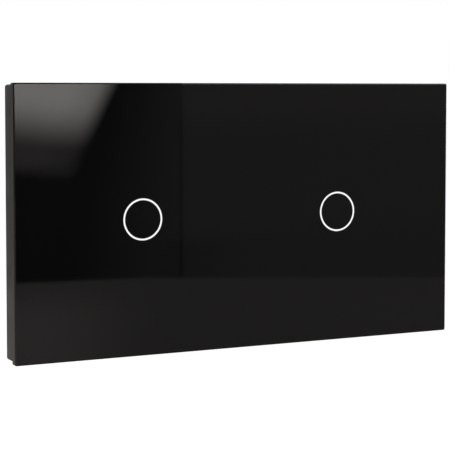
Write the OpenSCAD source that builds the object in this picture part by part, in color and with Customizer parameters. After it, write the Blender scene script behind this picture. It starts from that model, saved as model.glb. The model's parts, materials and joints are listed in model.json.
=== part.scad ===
// Touch light switch for two circuits.
// A black glass panel with two touch rings sits on a clip-on frame.
// Behind it two switch modules are screwed to steel plates over wall boxes.
// X runs to the right, Y runs into the wall, Z runs up. The wall plane is y = 0.
// All sizes are in millimetres.

/* [Glass panel] */
// Width of the glass
glass_w = 157; // [152:0.5:170]
// Height of the glass
glass_h = 86; // [83:0.5:96]
// Thickness of the glass
glass_t = 3; // [2.5:0.1:5]
// Polished bevel round the front edge
glass_bevel = 0.4; // [0.2:0.05:1]
// Ground edge at the back
glass_back_bevel = 0.3; // [0.1:0.05:0.6]
// Corner radius of the glass
glass_corner_r = 0.6; // [0.6:0.1:3]

/* [Touch rings] */
// Distance between the two circuits
gang_pitch = 71; // [68:0.5:73]
// Outer diameter of a touch ring
ring_d = 13.3; // [12.8:0.1:14]
// Width of the ring line
ring_line = 0.55; // [0.4:0.05:1]
// Thickness of the ink behind the glass
ink_t = 0.1; // [0.08:0.01:0.2]

/* [Panel frame] */
// How far the frame stands back from the edge of the glass
frame_inset = 0.5; // [0.3:0.05:1.2]
// Wall of the frame
frame_wall = 1.8; // [1.2:0.1:2.2]
// Depth of the frame from the wall to the ink
frame_depth = 6.9; // [6.7:0.1:10]
// Thickness of the shelf behind the glass
shelf_t = 1.5; // [1:0.1:1.8]
// Thickness of the tape between shelf and glass
tape_t = 0.4; // [0.2:0.05:0.6]
// Thickness of the stiffening ribs
rib_t = 1.2; // [0.8:0.1:1.6]
// Width of a snap hook
hook_w = 8; // [5:0.5:10]
// Width of the notch for levering the panel off
notch_w = 12; // [8:0.5:16]
// Depth of that notch
notch_depth = 2.2; // [1.5:0.1:3]

/* [Mounting plate] */
// Sheet thickness of the plate
plate_t = 1; // [0.8:0.1:1.2]
// Height of the plate
plate_h = 71; // [69:0.5:72]
// Distance between the wall box screws
box_screw_pitch = 60; // [58:0.5:62]
// Diameter of the wall box screw holes
box_hole_d = 4.2; // [3.6:0.1:5]
// Whole length of the upper and lower slots
box_slot_l = 12; // [8:0.5:16]
// Diameter of the middle opening
plate_opening_d = 40; // [39.6:0.1:41]
// Width of a bent lip
lip_w = 14; // [11:0.5:16]
// Height of a bent lip over the plate
lip_h = 3.2; // [2.6:0.1:3.4]

/* [Module case] */
// Side of the square rear case
case_w = 49; // [48.6:0.1:52]
// Diameter that rounds off the corners of the rear case
case_d = 57; // [56.4:0.2:60]
// Wall of the rear case
case_wall = 1.8; // [1.4:0.1:2]
// Bevel of the rear edges
case_bevel = 1; // [0.4:0.1:1.4]
// Side of the front cover
cover_w = 52; // [51:0.5:54]
// Height of the front cover over the plate
cover_h = 3.6; // [3.6:0.05:4.2]
// Front wall of the cover
cover_wall = 1.2; // [1:0.1:1.4]
// Distance of the module screws, across and upward
screw_pitch = 35; // [34.6:0.1:36]
// Diameter of the module screws
screw_d = 2.4; // [2:0.1:2.6]
// Length of the module screws under the head
screw_l = 11.5; // [9:0.5:14]
// Width of a vent slot in the rear wall
vent_w = 1.6; // [1:0.1:2]
// Length of a vent slot
vent_l = 12; // [8:0.5:16]

/* [Touch sensor] */
// Diameter of the touch board
touch_board_d = 42; // [41.6:0.1:42.6]
// Thickness of the touch board
touch_board_t = 1.2; // [1:0.1:1.3]
// Wall of the light guide tube
guide_wall = 1.9; // [1.8:0.05:2.2]
// Wire of the touch spring
spring_wire_d = 0.5; // [0.4:0.02:0.5]
// Middle radius of the touch spring
spring_r = 4.4; // [3.8:0.1:4.8]
// Turns of the touch spring
spring_turns = 2.75; // [1.75:0.25:2.75]

/* [Main board] */
// Distance from the touch board to the main board
board_gap = 11.7; // [11.2:0.1:14]
// Thickness of the main board
main_board_t = 1.6; // [1.2:0.1:2]
// Pin spacing of the header
pin_pitch = 2.54; // [2:0.02:2.54]
// Number of header pins
pin_count = 5; // [3:1:5]
// Diameter of component leads
lead_d = 0.8; // [0.6:0.05:1]

/* [Terminals] */
// Distance between the two wire terminals
pole_pitch = 9.5; // [9:0.1:10]
// Depth of the terminal block behind the lower wall
terminal_depth = 11; // [10.8:0.1:11.4]
// Diameter of the terminal screws
terminal_screw_d = 3.5; // [3:0.1:3.6]
// Diameter of the terminal screw heads
terminal_head_d = 5.6; // [5:0.1:5.8]
// Height of the terminal screw heads
terminal_head_h = 2.4; // [2:0.1:2.6]
// Free height for the wire in an open clamp
wire_room = 3.7; // [3.6:0.05:4]
// Travel of a clamp
clamp_travel = 3; // [2:0.1:3]

/* [Relay and supply] */
// Length of the relay
relay_l = 20; // [19.6:0.1:21]
// Width of the relay
relay_w = 10.4; // [10.2:0.1:11]
// Height of the relay
relay_h = 15.4; // [15.3:0.1:17]
// Angle between the open and the closed armature
armature_angle = 4.5; // [3:0.1:4.6]
// Height of the box capacitor
box_capacitor_h = 12; // [9:0.5:15]
// Diameter of the round capacitor
round_capacitor_d = 8; // [6.3:0.1:9]
// Height of the round capacitor
round_capacitor_h = 12; // [9:0.5:15]
// Width of the transformer
transformer_w = 12; // [9:0.5:13]
// Height of the transformer
transformer_h = 11; // [8:0.5:14]

/* [Fits] */
// Gap between neighbouring plates
plate_gap = 0.2; // [0.1:0.05:0.5]
// Room between a plate and the side wall of the frame
plate_side_clear = 5.3; // [3:0.05:8]
// Gap between snap noses and lips
snap_clear = 0.1; // [0.05:0.05:0.2]
// Gap beside a screw or a turning piece
running_clear = 0.05; // [0.03:0.01:0.08]
// Gap beside a part dropped into place
drop_in_clear = 0.2; // [0.1:0.05:0.25]
// Gap beside a lead or pin in its hole
lead_clear = 0.1; // [0.05:0.01:0.15]
// Gap between touch spring and ink
spring_clear = 0.05; // [0.03:0.01:0.1]

/* [Hidden] */
$fn = 64;
panel_nodes = ["glass_panel", "black_backing", "touch_rings", "panel_adhesive", "panel_frame"];
module_nodes = [
    "mounting_plate", "rear_housing", "front_cover", "module_screws",
    "light_guide", "touch_board", "touch_spring", "status_leds",
    "board_header", "board_socket", "main_board", "terminal_block", "busbars",
    "line_screw", "load_screw", "line_clamp", "load_clamp",
    "relay_base", "relay_coil", "relay_yoke", "relay_contact", "relay_armature", "relay_case",
    "box_capacitor", "round_capacitor", "transformer"
];
gangs = [["left", -gang_pitch / 2, -1], ["right", gang_pitch / 2, 1]];

// small overlap used only inside one solid
bite = 0.3;
// over-length of a cutting shape
cut = 1;

// depths of the glass and its ink
ink_back = -frame_depth;
glass_back = ink_back - ink_t;
glass_front = glass_back - glass_t;
ink_edge = 0.1;
ink_margin = glass_back_bevel + ink_edge;
ink_gap = 0.02;

// frame, shelf and tape
frame_w = glass_w - 2 * frame_inset;
frame_h = glass_h - 2 * frame_inset;
frame_bevel = 0.4;
frame_corner_r = glass_corner_r + frame_bevel;
inner_w = frame_w - 2 * frame_wall;
inner_h = frame_h - 2 * frame_wall;
shelf_front = ink_back + tape_t;
shelf_back = shelf_front + shelf_t;
rib_clear = 0.8;
rib_back = -plate_t - rib_clear;
tape_margin = 0.3;
tape_corner_r = 1;
tape_window_edge = 1;

// plates, their lips and the hooks that snap into them
plate_in = plate_gap / 2 - gang_pitch / 2;
plate_out = inner_w / 2 - plate_side_clear - gang_pitch / 2;
plate_w = plate_out - plate_in;
plate_mid = (plate_in + plate_out) / 2;
plate_corner_r = 3;
lip_x = 18;
lip_front = -plate_t - lip_h;
hook_t = 1.4;
hook_reach = 0.6;
hook_z = plate_h / 2 + snap_clear + hook_reach;
hook_clear = 0.4;
hook_back = -plate_t - hook_clear;
snap_stand = 1;
snap_y = -plate_t - snap_stand;
snap_l = 0.8;
snap_front_slope = 0.8;
snap_back_slope = 0.3;
lip_slot_h = 1;
lip_slot_clear = 0.5;

// front cover and the window round it in the frame
cover_front = -plate_t - cover_h;
cover_inside = cover_front + cover_wall;
cover_side_wall = 1.6;
cover_corner_r = 4;
cover_bevel = 0.6;
window_gap = 3;
window_w = cover_w + 2 * window_gap;
mullion_half = gang_pitch / 2 - window_w / 2;
window_rib_gap = 1.5;
middle_rib_x = mullion_half - window_rib_gap;
lip_rib_gap = 2;
outer_rib_x = lip_x + lip_w / 2 + lip_rib_gap;
side_rib_z = 15;

// module screws, the bosses that take them, and vents
screw_head_d = 4.4;
screw_head_h = 1;
screw_head_sink = 0.1;
screw_seat = cover_front + screw_head_h + screw_head_sink;
screw_end_room = 1;
recess_l = 2.6;
recess_w = 0.5;
recess_depth = 0.6;
post_r = 2.9;
boss_r = 2.6;
boss_foot_r = 3.6;
vent_count = 5;
vent_pitch = 5;
vent_z = 8;

// touch board and the pads that hold it down
touch_board_play = 0.3;
touch_board_back = -plate_t - touch_board_play;
touch_board_front = touch_board_back - touch_board_t;
pad_r = 1.5;
pad_edge = 2.5;
pad_ring_r = touch_board_d / 2 - pad_edge;

// light guide and lamps
guide_top_clear = 0.2;
guide_top = ink_back + guide_top_clear;
guide_r = ring_d / 2;
guide_in_r = guide_r - guide_wall / 2;
guide_out_r = guide_in_r + guide_wall;
guide_foot_w = 1.8;
guide_foot_r = guide_out_r + guide_foot_w;
led_l = 2;
led_w = 1.3;
led_h = 0.7;
led_side_clear = 0.2;
led_top_clear = 0.1;
led_pocket_w = led_w + 2 * led_side_clear;
led_pocket_l = led_l + 2 * led_side_clear;

// touch spring
spring_top = ink_back + spring_clear + spring_wire_d / 2;
spring_leg = 0.5;
spring_bend = 0.6;
spiral_turns = 1.25;
spiral_pitch = 1.9;

// main board, depth of the case, header and socket
main_board_front = touch_board_back + board_gap;
main_board_back = main_board_front + main_board_t;
part_top_room = 1;
part_room = max(relay_h, box_capacitor_h, round_capacitor_h, transformer_h) + part_top_room;
case_inside = main_board_back + part_room;
case_rear = case_inside + case_wall;
header_w = 2.5;
header_t = 2.5;
header_l = pin_count * pin_pitch;
header_clear = 0.9;
header_reach = plate_opening_d / 2 - header_clear;
header_z = sqrt(pow(header_reach, 2) - pow(header_l / 2, 2)) - header_w / 2;
header_pin_l = 6.8;
socket_depth = 7.2;
socket_gap = 0.7;
pin_side = 0.64;
pin_out = 0.4;
pin_hole_r = 0.5;
tail_r = 0.3;
lead_out = 0.9;

// terminal block, clamps and busbars, from the rear inward
terminal_w = 2 * pole_pitch;
terminal_clear = 0.3;
round_low_z = sqrt(pow(case_d / 2 - case_wall, 2) - pow(terminal_w / 2, 2));
terminal_low_z = terminal_clear - min(case_w / 2 - case_wall, round_low_z);
terminal_front_wall = 1.9;
cell_x = 3.4;
cell_z = 3.3;
pole_z = terminal_low_z + terminal_front_wall + cell_z;
head_sink = 1.1;
head_under = case_rear - head_sink - terminal_head_h;
seat_t = 1.2;
seat_y = head_under - running_clear;
cell_top = seat_y - seat_t;
clamp_wall = 0.9;
clamp_nut_t = 1.8;
clamp_floor_t = 1;
clamp_half_z = 2.8;
clamp_in_x = 2.25;
clamp_stop_clear = 0.1;
clamp_rest_clear = 0.3;
clamp_top = cell_top - clamp_stop_clear - clamp_travel;
busbar_t = 1.2;
busbar_half_x = 2;
busbar_top = clamp_top - clamp_nut_t - clamp_rest_clear;
busbar_under = busbar_top - busbar_t;
clamp_floor = busbar_under - wire_room;
cell_low = clamp_floor - clamp_floor_t - clamp_rest_clear;
busbar_leg_t = 0.8;
busbar_end_z = pole_z + cell_z + busbar_leg_t + lead_clear;
busbar_tail_half = 0.8;
tail_slot_x = busbar_tail_half + drop_in_clear;
tail_slot_z = busbar_leg_t / 2 + drop_in_clear;
leg_slot_z = busbar_end_z - pole_z + lead_clear;
port_half_x = 1.8;
screw_slot_w = 0.8;
screw_slot_depth = 1.2;

// relay and supply parts stand between the screw bosses
relay_wall = 0.8;
relay_plug_clear = 0.05;
part_gap = 0.5;
relay_x = boss_foot_r + part_gap + relay_l / 2 - screw_pitch / 2;
socket_relay_gap = 0.8;
relay_z = header_z - header_w / 2 - socket_relay_gap - relay_w / 2;
relay_half_l = relay_l / 2 - relay_wall;
relay_half_w = relay_w / 2 - relay_wall;
relay_bevel = 0.5;
relay_base_t = 1.8;
relay_floor = main_board_back + relay_base_t;
relay_pin_end = 1.2;
relay_pin_x = relay_half_l - relay_pin_end;
relay_pin_side = 1.8;
relay_pin_z = relay_half_w - relay_pin_side;
coil_flange_t = 0.8;
coil_lip = 0.2;
coil_r = relay_half_w - 2 * coil_lip;
coil_end_gap = 1;
coil_x = relay_x - relay_half_l + coil_r + coil_end_gap;
pole_r = 2.4;
pole_h = 0.4;
yoke_t = 1.2;
yoke_side_gap = 0.8;
yoke_half_w = relay_half_w - yoke_side_gap;
coil_yoke_gap = 0.8;
yoke_x = coil_x + coil_r + coil_lip + coil_yoke_gap + yoke_t / 2;
pivot_drop = 3.4;
pivot_y = main_board_back + relay_h - pivot_drop;
armature_t = 1.2;
armature_lift = 0.25;
armature_side_in = 0.2;
armature_half_w = yoke_half_w - armature_side_in;
pole_air_gap = 0.1;
pole_face_y = pivot_y + armature_lift - pole_air_gap;
blade_t = 0.4;
blade_half_w = 1.6;
blade_gap = 0.8;
blade_x = yoke_x + yoke_t / 2 + blade_gap;
blade_drop = 6.4;
contact_drop = 5.2;
blade_end = pivot_y - blade_drop;
contact_y = pivot_y - contact_drop;
contact_r = 1.2;
contact_l = 0.7;
contact_clear = 0.08;
fixed_x = blade_x + blade_t + contact_l + contact_clear;
fixed_contact_l = 0.6;
strip_t = 0.6;
strip_half_w = 2;

// supply parts and where their leads pass the board
box_capacitor_l = 13;
box_capacitor_t = 6;
box_capacitor_x = relay_x + relay_l / 2 + 3 * part_gap + box_capacitor_t / 2;
box_capacitor_z = screw_pitch / 2 - boss_foot_r - part_gap - box_capacitor_l / 2;
box_capacitor_pin_end = 1.5;
box_capacitor_pin_z = box_capacitor_l / 2 - box_capacitor_pin_end;
box_capacitor_bevel = 0.5;
round_capacitor_wall_gap = 2.2;
round_capacitor_x = round_capacitor_wall_gap + case_wall - case_w / 2 + round_capacitor_d / 2;
round_capacitor_z = -2;
round_capacitor_pin_z = 1.75;
round_capacitor_bevel = 0.4;
crimp_h = 1.8;
crimp_depth = 0.4;
transformer_x = -2;
transformer_z = -3.6;
transformer_d = 10;
core_d = 5;
core_stand = 1;
core_over = 2;
core_side = 1.5;
core_bevel = 0.3;
bobbin_w = transformer_w - 2 * core_side;
bobbin_bevel = 0.8;
transformer_pin_end = 2.5;
transformer_pin_x = transformer_w / 2 - transformer_pin_end;
transformer_pin_side = 1.2;
transformer_pin_z = transformer_d / 2 - transformer_pin_side;
signs = [-1, 1];
relay_pins = [
    for (sx = signs)
        for (sz = signs)
            [relay_x + sx * relay_pin_x, relay_z + sz * relay_pin_z]
];
box_capacitor_pins = [for (s = signs) [box_capacitor_x, box_capacitor_z + s * box_capacitor_pin_z]];
round_capacitor_pins = [
    for (s = signs)
        [round_capacitor_x, round_capacitor_z + s * round_capacitor_pin_z]
];
transformer_pins = [
    for (sx = signs)
        for (sz = signs)
            [transformer_x + sx * transformer_pin_x, transformer_z + sz * transformer_pin_z]
];
header_pins = [for (i = [0 : pin_count - 1]) [(i - (pin_count - 1) / 2) * pin_pitch, header_z]];
lead_points = concat(relay_pins, box_capacitor_pins, round_capacitor_pins, transformer_pins);

// general shapes

// outline in X and Z, drawn out between two depths
module slab(y_front, y_back) {
    translate([0, y_back, 0])
        rotate([90, 0, 0])
            linear_extrude(height = y_back - y_front)
                children();
}

module rounded_rect(w, h, r) {
    square([w - 2 * r, h], center = true);
    square([w, h - 2 * r], center = true);
    for (x = [-1, 1], z = [-1, 1])
        translate([x * (w / 2 - r), z * (h / 2 - r)])
            circle(r = r);
}

module slot_outline(l, d) {
    square([l - d, d], center = true);
    for (x = [-1, 1])
        translate([x * (l - d) / 2, 0])
            circle(d = d);
}

module rod(r, y_front, y_back) {
    translate([0, y_back, 0])
        rotate([90, 0, 0])
            cylinder(r = r, h = y_back - y_front);
}

module box_between(low, high) {
    translate(low)
        cube(high - low);
}

function front_corner(half, y, c) =
    c > 0 ? [[-half, y + c], [-half + c, y], [half - c, y], [half, y + c]] : [[-half, y], [half, y]];
function back_corner(half, y, c) =
    c > 0 ? [[half, y - c], [half - c, y], [-half + c, y], [-half, y - c]] : [[half, y], [-half, y]];
function bevel_profile(half, y_front, y_back, c_front, c_back) =
    concat(front_corner(half, y_front, c_front), back_corner(half, y_back, c_back));

// rectangular block with bevels round its front and back edges
module bevelled_block(w, h, y_front, y_back, c_front, c_back) {
    intersection() {
        linear_extrude(height = h + 2 * cut, center = true)
            polygon(bevel_profile(w / 2, y_front, y_back, c_front, c_back));
        rotate([0, -90, 0])
            linear_extrude(height = w + 2 * cut, center = true)
                polygon(bevel_profile(h / 2, y_front, y_back, c_front, c_back));
    }
}

// square outline with its corners rounded off by a circle
module case_outline(inset) {
    intersection() {
        square([case_w - 2 * inset, case_w - 2 * inset], center = true);
        circle(r = case_d / 2 - inset);
    }
}

module at_screws() {
    for (x = [-1, 1], z = [-1, 1])
        translate([x * screw_pitch / 2, 0, z * screw_pitch / 2])
            children();
}

module at_gangs() {
    for (g = gangs)
        translate([g[1], 0, 0])
            children();
}

module leads(points, y_back) {
    for (p = points)
        translate([p[0], 0, p[1]])
            rod(lead_d / 2, main_board_front - lead_out, y_back);
}

// front panel

module glass_panel() {
    color([0.03, 0.03, 0.035])
        intersection() {
            slab(glass_front - cut, glass_back + cut)
                rounded_rect(glass_w, glass_h, glass_corner_r);
            bevelled_block(glass_w, glass_h, glass_front, glass_back, glass_bevel, glass_back_bevel);
        }
}

// black ink on the back of the glass, left open along the two rings
module black_backing() {
    color([0.01, 0.01, 0.01]) {
        difference() {
            slab(glass_back, ink_back)
                rounded_rect(glass_w - 2 * ink_margin, glass_h - 2 * ink_margin, glass_corner_r);
            at_gangs()
                rod(ring_d / 2 + ink_gap, glass_back - cut, ink_back + cut);
        }
        at_gangs()
            rod(ring_d / 2 - ring_line - ink_gap, glass_back, ink_back);
    }
}

module touch_rings() {
    color([0.97, 0.97, 0.97])
        at_gangs()
            difference() {
                rod(ring_d / 2, glass_back, ink_back);
                rod(ring_d / 2 - ring_line, glass_back - cut, ink_back + cut);
            }
}

module panel_adhesive() {
    color([0.12, 0.12, 0.12])
        difference() {
            slab(ink_back, shelf_front)
                rounded_rect(inner_w - 2 * tape_margin, inner_h - 2 * tape_margin, tape_corner_r);
            at_gangs()
                slab(ink_back - cut, shelf_front + cut)
                    rounded_rect(
                        window_w + 2 * tape_window_edge, window_w + 2 * tape_window_edge,
                        cover_corner_r + tape_window_edge);
        }
}

// snap hook for the lip on the upper edge of a plate
module snap_hook() {
    translate([-hook_w / 2, shelf_back - bite, hook_z])
        cube([hook_w, hook_back - shelf_back + bite, hook_t]);
    translate([0, snap_y, hook_z + bite])
        rotate([0, 90, 0])
            linear_extrude(height = hook_w, center = true)
                polygon([
                    [0, -snap_l / 2 - snap_front_slope], [bite, -snap_l / 2 - snap_front_slope],
                    [bite + hook_reach, -snap_l / 2], [bite + hook_reach, snap_l / 2],
                    [bite, snap_l / 2 + snap_back_slope], [0, snap_l / 2 + snap_back_slope]
                ]);
}

module frame_ribs() {
    rim_x = inner_w / 2 + bite;
    rim_z = inner_h / 2 + bite;
    window_out = gang_pitch / 2 + window_w / 2;
    for (x = [-1, 1]) {
        box_between(
            [x * middle_rib_x - rib_t / 2, shelf_back - bite, -rim_z],
            [x * middle_rib_x + rib_t / 2, rib_back, rim_z]);
        for (z = [-side_rib_z, side_rib_z])
            box_between(
                [min(x * rim_x, x * window_out), shelf_back - bite, z - rib_t / 2],
                [max(x * rim_x, x * window_out), rib_back, z + rib_t / 2]);
    }
    for (g = gangs, x = [-outer_rib_x, outer_rib_x], z = [-1, 1])
        box_between(
            [g[1] + x - rib_t / 2, shelf_back - bite, min(z * rim_z, z * window_w / 2)],
            [g[1] + x + rib_t / 2, rib_back, max(z * rim_z, z * window_w / 2)]);
}

module panel_frame() {
    color([0.09, 0.09, 0.095])
        union() {
            difference() {
                intersection() {
                    slab(ink_back, 0)
                        rounded_rect(frame_w, frame_h, frame_corner_r);
                    bevelled_block(frame_w, frame_h, ink_back, 0, 0, frame_bevel);
                }
                slab(shelf_back, cut)
                    square([inner_w, inner_h], center = true);
                slab(ink_back - cut, shelf_front)
                    square([inner_w, inner_h], center = true);
                at_gangs()
                    slab(ink_back - cut, cut)
                        rounded_rect(window_w, window_w, cover_corner_r);
                box_between(
                    [-notch_w / 2, -notch_depth, -frame_h / 2 - cut],
                    [notch_w / 2, cut, -inner_h / 2 + cut]);
            }
            frame_ribs();
            at_gangs()
                for (x = [-lip_x, lip_x])
                    translate([x, 0, 0]) {
                        snap_hook();
                        rotate([0, 180, 0])
                            snap_hook();
                    }
        }
}

// mounting plate and module case

// side is -1 for the left plate and 1 for the right one
module mounting_plate(side) {
    color([0.72, 0.73, 0.74])
        difference() {
            union() {
                slab(-plate_t, 0)
                    translate([side * plate_mid, 0])
                        rounded_rect(plate_w, plate_h, plate_corner_r);
                for (x = [-lip_x, lip_x], z = [-1, 1])
                    translate([x, 0, z * (plate_h - plate_t) / 2])
                        box_between(
                            [-lip_w / 2, lip_front, -plate_t / 2],
                            [lip_w / 2, -plate_t / 2, plate_t / 2]);
            }
            rod(plate_opening_d / 2, -plate_t - cut, cut);
            for (x = [-1, 1])
                translate([x * box_screw_pitch / 2, 0, 0])
                    rod(box_hole_d / 2, -plate_t - cut, cut);
            for (z = [-1, 1])
                translate([0, 0, z * box_screw_pitch / 2])
                    slab(-plate_t - cut, cut)
                        slot_outline(box_slot_l, box_hole_d);
            at_screws()
                rod(screw_d / 2 + drop_in_clear, -plate_t - cut, cut);
            for (x = [-lip_x, lip_x], z = [-1, 1])
                translate([x, snap_y, z * (plate_h - plate_t) / 2])
                    cube([hook_w + 2 * lip_slot_clear, lip_slot_h, plate_t + 2 * cut], center = true);
        }
}

module rear_housing() {
    color([0.16, 0.16, 0.17])
        difference() {
            union() {
                difference() {
                    intersection() {
                        bevelled_block(case_w, case_w, 0, case_rear, 0, case_bevel);
                        rotate([-90, 0, 0])
                            rotate_extrude()
                                polygon([
                                    [0, 0], [case_d / 2, 0], [case_d / 2, case_rear - case_bevel],
                                    [case_d / 2 - case_bevel, case_rear], [0, case_rear]
                                ]);
                    }
                    slab(-cut, case_inside)
                        case_outline(case_wall);
                }
                intersection() {
                    at_screws() {
                        rod(boss_r, 0, case_inside + bite);
                        rod(boss_foot_r, main_board_back, case_inside + bite);
                    }
                    slab(0, case_rear - case_bevel)
                        case_outline(case_wall / 2);
                }
            }
            at_screws()
                rod(screw_d / 2 + running_clear, -cut, screw_seat + screw_l + screw_end_room);
            // window for the terminal block
            box_between(
                [-terminal_w / 2 - drop_in_clear, case_inside - cut, terminal_low_z - drop_in_clear],
                [terminal_w / 2 + drop_in_clear, case_rear + cut,
                    terminal_low_z + terminal_depth + drop_in_clear]);
            // wire ports in the lower wall
            for (x = [-1, 1])
                box_between(
                    [x * pole_pitch / 2 - port_half_x - drop_in_clear, clamp_floor, -case_w / 2 - cut],
                    [x * pole_pitch / 2 + port_half_x + drop_in_clear, busbar_under, terminal_low_z]);
            // vents
            for (i = [0 : vent_count - 1])
                translate([(i - (vent_count - 1) / 2) * vent_pitch, 0, vent_z])
                    rotate([0, 90, 0])
                        slab(case_inside - cut, case_rear + cut)
                            slot_outline(vent_l, vent_w);
        }
}

module front_cover() {
    color([0.86, 0.86, 0.85])
        difference() {
            union() {
                difference() {
                    intersection() {
                        slab(cover_front - cut, cut)
                            rounded_rect(cover_w, cover_w, cover_corner_r);
                        bevelled_block(cover_w, cover_w, cover_front, -plate_t, cover_bevel, 0);
                    }
                    slab(cover_inside, cut)
                        rounded_rect(
                            cover_w - 2 * cover_side_wall, cover_w - 2 * cover_side_wall,
                            cover_corner_r - cover_side_wall);
                }
                at_screws()
                    rod(post_r, cover_inside - bite, -plate_t);
                for (a = [0 : 90 : 270])
                    rotate([0, a, 0])
                        translate([pad_ring_r, 0, 0])
                            rod(pad_r, cover_inside - bite, touch_board_front);
            }
            rod(guide_out_r + drop_in_clear, cover_front - cut, cut);
            at_screws() {
                rod(screw_d / 2 + drop_in_clear, cover_front - cut, cut);
                rod(screw_head_d / 2 + drop_in_clear, cover_front - cut, screw_seat);
            }
        }
}

module module_screws() {
    color([0.66, 0.66, 0.65])
        at_screws()
            difference() {
                union() {
                    rod(screw_head_d / 2, screw_seat - screw_head_h, screw_seat);
                    rod(screw_d / 2, screw_seat - bite, screw_seat + screw_l);
                }
                for (a = [0, 90])
                    rotate([0, a, 0])
                        translate([0, screw_seat - screw_head_h, 0])
                            cube([recess_l, 2 * recess_depth, recess_w], center = true);
            }
}

// touch sensor

module light_guide() {
    color([0.93, 0.94, 0.95])
        difference() {
            rotate([-90, 0, 0])
                rotate_extrude()
                    polygon([
                        [guide_in_r, guide_top], [guide_out_r, guide_top],
                        [guide_out_r, cover_inside], [guide_foot_r, cover_inside],
                        [guide_foot_r, touch_board_front], [guide_in_r, touch_board_front]
                    ]);
            for (a = [45 : 90 : 315])
                rotate([0, a, 0])
                    translate([guide_r, touch_board_front, 0])
                        cube([led_pocket_w, 2 * (led_h + led_top_clear), led_pocket_l], center = true);
        }
}

module status_leds() {
    color([0.95, 0.92, 0.75])
        for (a = [45 : 90 : 315])
            rotate([0, a, 0])
                translate([guide_r, touch_board_front - led_h / 2, 0])
                    cube([led_w, led_h, led_l], center = true);
}

module touch_board() {
    color([0.1, 0.35, 0.2])
        difference() {
            rod(touch_board_d / 2, touch_board_front, touch_board_back);
            at_screws()
                rod(post_r + drop_in_clear, touch_board_front - cut, touch_board_back + cut);
            for (p = header_pins)
                translate([p[0], 0, p[1]])
                    rod(pin_hole_r, touch_board_front - cut, touch_board_back + cut);
        }
}

// middle line of the touch spring: straight foot, bend, helix and flat spiral
spring_helix_y = touch_board_front - spring_leg - spring_bend;
spring_start = spring_bend / spring_r * 180 / PI;
helix_steps = ceil(spring_turns * 8);
spiral_steps = ceil(spiral_turns * 8);
function around(r, a, y) = [r * cos(a), y, r * sin(a)];
spring_path = concat(
    [around(spring_r, 0, touch_board_front)],
    [
        for (t = [0 : 30 : 60])
            around(
                spring_r, spring_start * (1 - cos(t)),
                touch_board_front - spring_leg - spring_bend * sin(t))
    ],
    [
        for (i = [0 : helix_steps])
            around(
                spring_r, spring_start + 360 * spring_turns * i / helix_steps,
                spring_helix_y + (spring_top - spring_helix_y) * i / helix_steps)
    ],
    [
        for (i = [1 : spiral_steps])
            around(
                spring_r - spiral_pitch * spiral_turns * i / spiral_steps,
                spring_start + 360 * (spring_turns + spiral_turns * i / spiral_steps),
                spring_top)
    ]
);
spring_gap = min([
    for (i = [0 : len(spring_path) - 1])
        for (j = [i + 5 : 1 : len(spring_path) - 1])
            norm(spring_path[i] - spring_path[j])
]) - spring_wire_d;
echo(least_gap_of_touch_spring = spring_gap);

function unit(v) = v / norm(v);
function heading(path, i) =
    i == 0 ? unit(path[1] - path[0]) : i == len(path) - 1
        ? unit(path[i] - path[i - 1])
        : unit(unit(path[i + 1] - path[i]) + unit(path[i] - path[i - 1]));

// round tube of six sides along a path that winds round the Y axis
module wound_tube(path, r) {
    sides = 6;
    last = len(path) - 1;
    points = [
        for (i = [0 : last])
            let (
                t = heading(path, i),
                out = unit([path[i][0], 0, path[i][2]]),
                u = unit(out - (out * t) * t),
                v = cross(t, u)
            )
                for (k = [0 : sides - 1])
                    path[i] + r * (cos(360 * k / sides) * u + sin(360 * k / sides) * v)
    ];
    side_faces = [
        for (i = [0 : last - 1])
            for (k = [0 : sides - 1])
                let (
                    a = i * sides + k,
                    b = i * sides + (k + 1) % sides
                )
                    for (f = [[a, a + sides, b], [b, a + sides, b + sides]])
                        f
    ];
    end_faces = [
        for (k = [1 : sides - 2])
            for (f = [[0, k, k + 1], [last * sides, last * sides + k + 1, last * sides + k]])
                f
    ];
    polyhedron(points = points, faces = concat(side_faces, end_faces), convexity = 8);
}

module touch_spring() {
    color([0.78, 0.78, 0.76])
        wound_tube(spring_path, spring_wire_d / 2);
}

// boards

module board_header() {
    color([0.1, 0.1, 0.1]) {
        translate([0, 0, header_z])
            slab(touch_board_back, touch_board_back + header_t)
                square([header_l, header_w], center = true);
        for (p = header_pins)
            translate([p[0], 0, p[1]])
                slab(touch_board_front - pin_out, touch_board_back + header_t + header_pin_l)
                    square([pin_side, pin_side], center = true);
    }
}

module board_socket() {
    color([0.1, 0.1, 0.1]) {
        difference() {
            translate([0, 0, header_z])
                slab(touch_board_back + header_t + socket_gap, main_board_front)
                    square([header_l, header_w], center = true);
            for (p = header_pins)
                translate([p[0], 0, p[1]])
                    slab(touch_board_back, touch_board_back + header_t + socket_depth)
                        square([pin_side + 2 * lead_clear, pin_side + 2 * lead_clear], center = true);
        }
        for (p = header_pins)
            translate([p[0], 0, p[1]])
                rod(tail_r, main_board_front - bite, main_board_back + lead_out);
    }
}

module main_board() {
    color([0.1, 0.35, 0.2])
        difference() {
            slab(main_board_front, main_board_back)
                case_outline(case_wall + drop_in_clear);
            at_screws()
                rod(boss_r + drop_in_clear, main_board_front - cut, main_board_back + cut);
            for (p = lead_points)
                translate([p[0], 0, p[1]])
                    rod(lead_d / 2 + lead_clear, main_board_front - cut, main_board_back + cut);
            for (p = header_pins)
                translate([p[0], 0, p[1]])
                    rod(tail_r + lead_clear, main_board_front - cut, main_board_back + cut);
            for (x = [-1, 1])
                translate([x * pole_pitch / 2, 0, busbar_end_z - busbar_leg_t / 2])
                    box_between(
                        [-tail_slot_x, main_board_front - cut, -tail_slot_z],
                        [tail_slot_x, main_board_back + cut, tail_slot_z]);
        }
}

// terminals

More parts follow.
